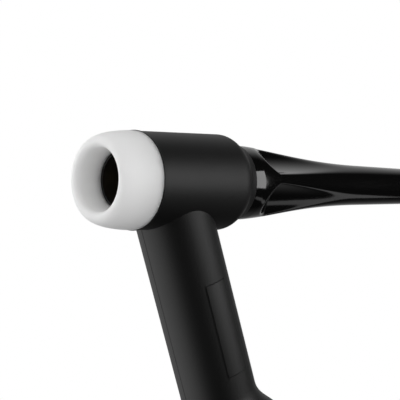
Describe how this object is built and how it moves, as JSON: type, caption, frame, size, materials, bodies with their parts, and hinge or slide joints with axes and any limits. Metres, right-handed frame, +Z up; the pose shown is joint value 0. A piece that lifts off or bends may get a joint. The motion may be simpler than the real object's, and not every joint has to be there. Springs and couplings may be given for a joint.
{
  "type": "tig torch",
  "caption": "Air-cooled TIG welding torch with a bendable neck, ribbed tubular handle, long fluted back cap and white front insulator.",
  "frame": {"origin": "on the head axis, at the front face of the head cover, inside the nozzle socket", "axes": "+X along the head axis towards the back cap, -X the way the nozzle points, +Z up and away from the handle, Y across the torch"},
  "size_m": [0.1486, 0.033, 0.2107],
  "materials": {
    "white_ptfe": "satin, turned PTFE",
    "brass": "machined",
    "copper": "drawn and annealed copper tube",
    "neck_rubber": "satin, moulded silicone rubber",
    "handle_nylon": "moulded glass-filled nylon",
    "cap_phenolic": "glossy compression-moulded phenolic",
    "seal_rubber": "smooth nitrile"
  },
  "bodies": {
    "handle": {"handle": "handle_nylon", "neck_base": "neck_rubber", "tail_fitting": "brass", "neck_tube": "copper", "neck_cover": "neck_rubber"},
    "head": {"head_core": "brass", "head_cover": "neck_rubber"},
    "insulator": {"front_insulator": "white_ptfe"},
    "cap_seal": {"cap_o_ring": "seal_rubber"},
    "back_cap": {"back_cap": "cap_phenolic", "cap_insert": "brass"}
  },
  "joints": [
    {"name": "neck_bend", "type": "hinge", "parent": "handle", "child": "head", "pos_m": [0.02484, 0, -0.03815], "axis": [0, 1, 0], "range_deg": [-35, 35], "deforming": ["neck_cover", "neck_tube"]},
    {"name": "insulator_pull", "type": "slide", "parent": "head", "child": "insulator", "axis": [-1, 0, 0], "range_m": [0, 0.015]},
    {"name": "cap_travel", "type": "slide", "parent": "head", "child": "cap_seal", "axis": [1, 0, 0], "range_m": [0, 0.0076]},
    {"name": "cap_turn", "type": "hinge", "parent": "cap_seal", "child": "back_cap", "pos_m": [0.04, 0, 0], "axis": [1, 0, 0], "range_deg": [0, 1800]}
  ],
  "couplings": [
    {"joint": "cap_travel", "follows": "cap_turn", "m_per_rad": 0.00023873}
  ]
}
